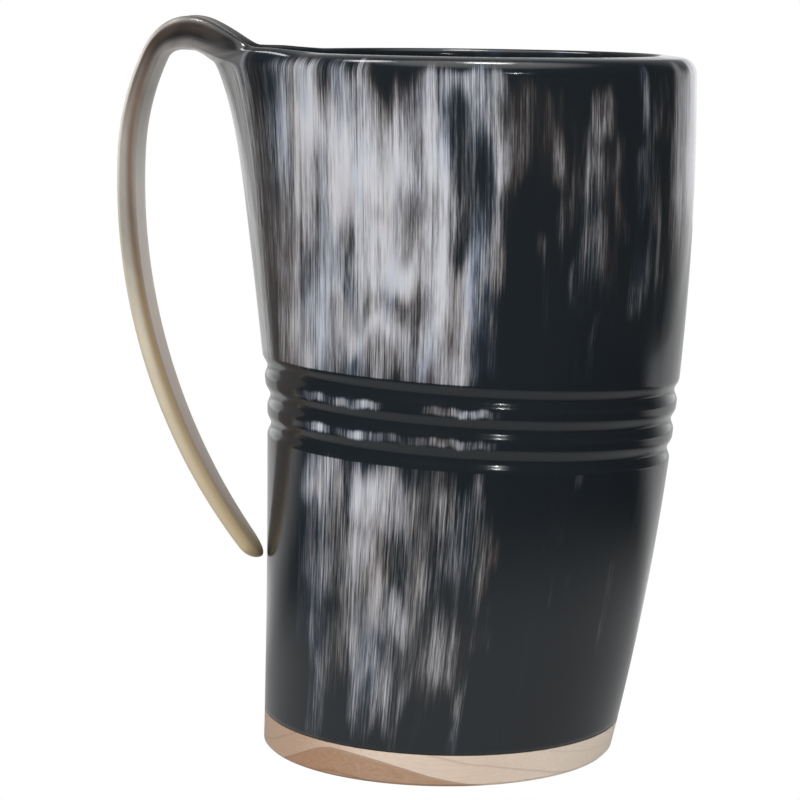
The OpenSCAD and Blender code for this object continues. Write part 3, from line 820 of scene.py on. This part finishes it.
def horn_material():
    material, tree, shader = new_material("polished_horn")
    fibre = attribute(tree, "fibre", "Vector")
    pale, calm, satin = [attribute(tree, name, "Fac") for name in ("pale", "calm", "satin")]
    dark_tint, pale_tint = [attribute(tree, name, "Color") for name in ("dark_tint", "pale_tint")]
    fine = stretched_noise(tree, fibre, FINE_FIBRES)
    flecks = stretched_noise(tree, fibre, FLECKS)
    broad = stretched_noise(tree, fibre, BROAD_FIBRES)
    spread = 0.0
    for noise, weight in ((fine, FINE_WEIGHT), (flecks, FLECK_WEIGHT), (broad, BROAD_WEIGHT)):
        part = maths(tree, "MULTIPLY", maths(tree, "SUBTRACT", noise, 0.5), weight)
        spread = maths(tree, "ADD", spread, part)
    lively = maths(tree, "MULTIPLY", spread, remapped(tree, pale, PALE_TO_LIVELY))
    lively = maths(tree, "MULTIPLY", lively, remapped(tree, calm, CALM_TO_LIVELY))
    total = maths(tree, "ADD", pale, lively)
    half_tint = mixed(tree, HALF_TINT, dark_tint, pale_tint)
    darker = mixed(tree, remapped(tree, total, TOTAL_TO_HALF), dark_tint, half_tint)
    colour = mixed(tree, remapped(tree, total, TOTAL_TO_PALE), darker, pale_tint)
    tree.links.new(colour, shader.inputs["Base Color"])
    polish = remapped(tree, broad, FIBRES_TO_ROUGH)
    roughness = maths(tree, "ADD", polish, maths(tree, "MULTIPLY", satin, SATIN_ROUGHNESS))
    tree.links.new(roughness, shader.inputs["Roughness"])
    shader.inputs["Coat Weight"].default_value = COAT_WEIGHT
    shader.inputs["Coat Roughness"].default_value = COAT_ROUGHNESS
    add_bump(tree, shader, HORN_BUMP, HORN_BUMP_DEPTH, fine)
    return material


def ring_turns(tree, place, sideways, up):
    """How many growth rings lie below a point of the wood, counted from the first."""
    corner = node(tree, "ShaderNodeCombineXYZ", X=sideways, Y=RING_SOFT).outputs[0]
    ridge = node(tree, "ShaderNodeVectorMath", {"operation": "LENGTH"}, i0=corner).outputs["Value"]
    even = maths(tree, "MULTIPLY", ridge, (RING_LEFT + RING_RIGHT) / 2)
    uneven = maths(tree, "MULTIPLY", sideways, (RING_RIGHT - RING_LEFT) / 2)
    height = maths(tree, "ADD", maths(tree, "ADD", even, uneven), up)
    wavy = node(tree, "ShaderNodeTexNoise", Vector=place, Scale=WAVE_SCALE, Detail=WAVE_DETAIL).outputs[0]
    wave = maths(tree, "MULTIPLY", maths(tree, "SUBTRACT", wavy, 0.5), WAVE_HEIGHT)
    bent = maths(tree, "ADD", height, wave)
    return maths(tree, "DIVIDE", maths(tree, "SUBTRACT", bent, RING_FIRST), RING_PITCH)


def wood_material():
    material, tree, shader = new_material("foot_wood")
    place = node(tree, "ShaderNodeTexCoord").outputs["Object"]
    split = node(tree, "ShaderNodeSeparateXYZ", i0=place).outputs
    sideways = maths(tree, "SUBTRACT", split[0], RING_X)
    turns = ring_turns(tree, place, sideways, split[2])
    within = node(tree, "ShaderNodeMath", {"operation": "FRACT"}, i0=turns).outputs[0]
    late = remapped(tree, within, WITHIN_TO_LINE)
    late = maths(tree, "MULTIPLY", late, remapped(tree, turns, TURNS_TO_LINE))
    scaled = scaled_by(tree, place, WOOD_FIBRES)
    fibres = node(tree, "ShaderNodeTexNoise", Vector=scaled, Scale=1.0, Detail=WOOD_DETAIL).outputs[0]
    grain = maths(tree, "MULTIPLY", maths(tree, "SUBTRACT", fibres, 0.5), WOOD_GRAIN)
    # Paler towards the right: partly the wood's own colour and partly painted light from the right
    paler_and_lit = maths(tree, "MULTIPLY", remapped(tree, turns, TURNS_TO_PALE),
                    remapped(tree, sideways, SIDEWAYS_TO_PALE))
    paler_and_lit = maths(tree, "ADD", paler_and_lit, remapped(tree, sideways, LIT_RIGHT_TO_PALE))
    paleness = maths(tree, "ADD", paler_and_lit, grain)
    low, high, line = [(*colour, 1) for colour in (HEARTWOOD_AND_SHADE, SAPWOOD_AND_LIGHT, RING_LINE)]
    colour = mixed(tree, late, mixed(tree, paleness, low, high), line)
    tree.links.new(colour, shader.inputs["Base Color"])
    tree.links.new(remapped(tree, fibres, WOOD_TO_ROUGH), shader.inputs["Roughness"])
    add_bump(tree, shader, WOOD_BUMP, WOOD_BUMP_DEPTH, fibres)
    return material


def resin_material():
    material, tree, shader = new_material("floor_resin")
    place = node(tree, "ShaderNodeTexCoord").outputs["Object"]
    cloudy = node(tree, "ShaderNodeTexNoise", Vector=place, Scale=RESIN_SCALE, Detail=RESIN_DETAIL).outputs[0]
    colour = mixed(tree, cloudy, (*RESIN_DARK, 1), (*RESIN_LIGHT, 1))
    tree.links.new(colour, shader.inputs["Base Color"])
    tree.links.new(remapped(tree, cloudy, RESIN_TO_ROUGH), shader.inputs["Roughness"])
    add_bump(tree, shader, RESIN_BUMP, RESIN_BUMP_DEPTH, cloudy)
    return material


def set_material(piece, material):
    piece.data.materials.clear()
    piece.data.materials.append(material)


# Stage, camera and light

def make_camera():
    e, r = math.radians(CAMERA_UP), math.radians(CAMERA_ROLL)
    forward = Vector((0, math.cos(e), -math.sin(e)))
    level, up = Vector((1, 0, 0)), Vector((0, math.sin(e), math.cos(e)))
    right = math.cos(r) * level + math.sin(r) * up
    top = -math.sin(r) * level + math.cos(r) * up
    data = bpy.data.cameras.new("camera")
    data.lens, data.sensor_width = CAMERA_LENS, CAMERA_SENSOR
    data.clip_start, data.clip_end = CAMERA_CLIP
    camera = bpy.data.objects.new("camera", data)
    place = CAMERA_TARGET - forward * CAMERA_DISTANCE
    turn = Matrix((right, top, -forward)).transposed().to_4x4()
    camera.matrix_world = Matrix.Translation(place) @ turn
    bpy.context.scene.collection.objects.link(camera)
    bpy.context.scene.camera = camera


def floor_material():
    """White to the camera. To gloss it is dim around the cup, bright behind it and dark elsewhere."""
    material, tree, shader = new_material("pale_floor")
    path = node(tree, "ShaderNodeLightPath")
    place = node(tree, "ShaderNodeTexCoord").outputs["Object"]
    y = node(tree, "ShaderNodeSeparateXYZ", i0=place).outputs[1]
    distance = node(tree, "ShaderNodeVectorMath", {"operation": "LENGTH"}, i0=place).outputs["Value"]
    around, behind = remapped(tree, distance, DISTANCE_TO_GLOSS), remapped(tree, y, BEHIND_TO_GLOSS)
    mirrored = node(tree, "ShaderNodeEmission", Strength=maths(tree, "ADD", around, behind)).outputs[0]
    white = node(tree, "ShaderNodeEmission", Strength=1.0).outputs[0]
    shader.inputs["Base Color"].default_value = FLOOR_COLOUR
    shader.inputs["Roughness"].default_value = FLOOR_ROUGHNESS
    is_glossy, is_camera = path.outputs["Is Glossy Ray"], path.outputs["Is Camera Ray"]
    unseen = node(tree, "ShaderNodeMixShader", i0=is_glossy, i1=shader.outputs[0], i2=mirrored).outputs[0]
    final = node(tree, "ShaderNodeMixShader", i0=is_camera, i1=unseen, i2=white).outputs[0]
    tree.links.new(final, tree.nodes["Material Output"].inputs["Surface"])
    return material


def make_floor():
    mesh = bpy.data.meshes.new("floor")
    corners = ((-FLOOR_X, FLOOR_NEAR), (FLOOR_X, FLOOR_NEAR), (FLOOR_X, FLOOR_FAR), (-FLOOR_X, FLOOR_FAR))
    mesh.from_pydata([(x, y, -FLOOR_DROP) for x, y in corners], [], [(0, 1, 2, 3)])
    floor = bpy.data.objects.new("floor", mesh)
    bpy.context.scene.collection.objects.link(floor)
    set_material(floor, floor_material())


def add_light(name, place, size, power, glossy):
    data = bpy.data.lights.new(name, "AREA")
    data.shape, data.size, data.energy = "DISK", size, power
    light = bpy.data.objects.new(name, data)
    light.location = place
    light.rotation_euler = (LIGHT_AIM - Vector(place)).to_track_quat("-Z", "Y").to_euler()
    light.visible_glossy = glossy
    light.visible_camera = False
    bpy.context.scene.collection.objects.link(light)


def make_world():
    """White to the camera, bright at the back and overhead to gloss, and soft white to everything else."""
    world = bpy.data.worlds.new("studio")
    world.use_nodes = True
    tree = world.node_tree
    tree.nodes.clear()
    path = node(tree, "ShaderNodeLightPath")
    direction = node(tree, "ShaderNodeTexCoord").outputs["Generated"]
    split = node(tree, "ShaderNodeSeparateXYZ", i0=direction).outputs
    backwards = maths(tree, "SUBTRACT", split[1], maths(tree, "MULTIPLY", split[0], BACK_TURN))
    back = remapped(tree, backwards, BACK_TO_GLOSS)
    level = remapped(tree, split[2], HEIGHT_TO_GLOSS)
    overhead = remapped(tree, split[2], OVERHEAD_TO_GLOSS)
    bright = maths(tree, "ADD", maths(tree, "MULTIPLY", back, level), overhead)
    glossy = node(tree, "ShaderNodeBackground", Strength=bright, Color=WHITE).outputs[0]
    soft = node(tree, "ShaderNodeBackground", Strength=SOFT_WHITE, Color=WHITE).outputs[0]
    white = node(tree, "ShaderNodeBackground", Strength=1.0, Color=WHITE).outputs[0]
    is_glossy, is_camera = path.outputs["Is Glossy Ray"], path.outputs["Is Camera Ray"]
    unseen = node(tree, "ShaderNodeMixShader", i0=is_glossy, i1=soft, i2=glossy).outputs[0]
    final = node(tree, "ShaderNodeMixShader", i0=is_camera, i1=unseen, i2=white).outputs[0]
    node(tree, "ShaderNodeOutputWorld", Surface=final)
    bpy.context.scene.world = world


horn = make_horn()
set_material(horn, horn_material())
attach(horn, "root")
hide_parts("horn_body")
set_material(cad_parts["wooden_base"], wood_material())
set_material(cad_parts["resin_seal"], resin_material())

make_camera()
make_floor()
make_world()
for light in LIGHTS:
    add_light(*light)
bpy.context.scene.view_settings.view_transform = "Standard"
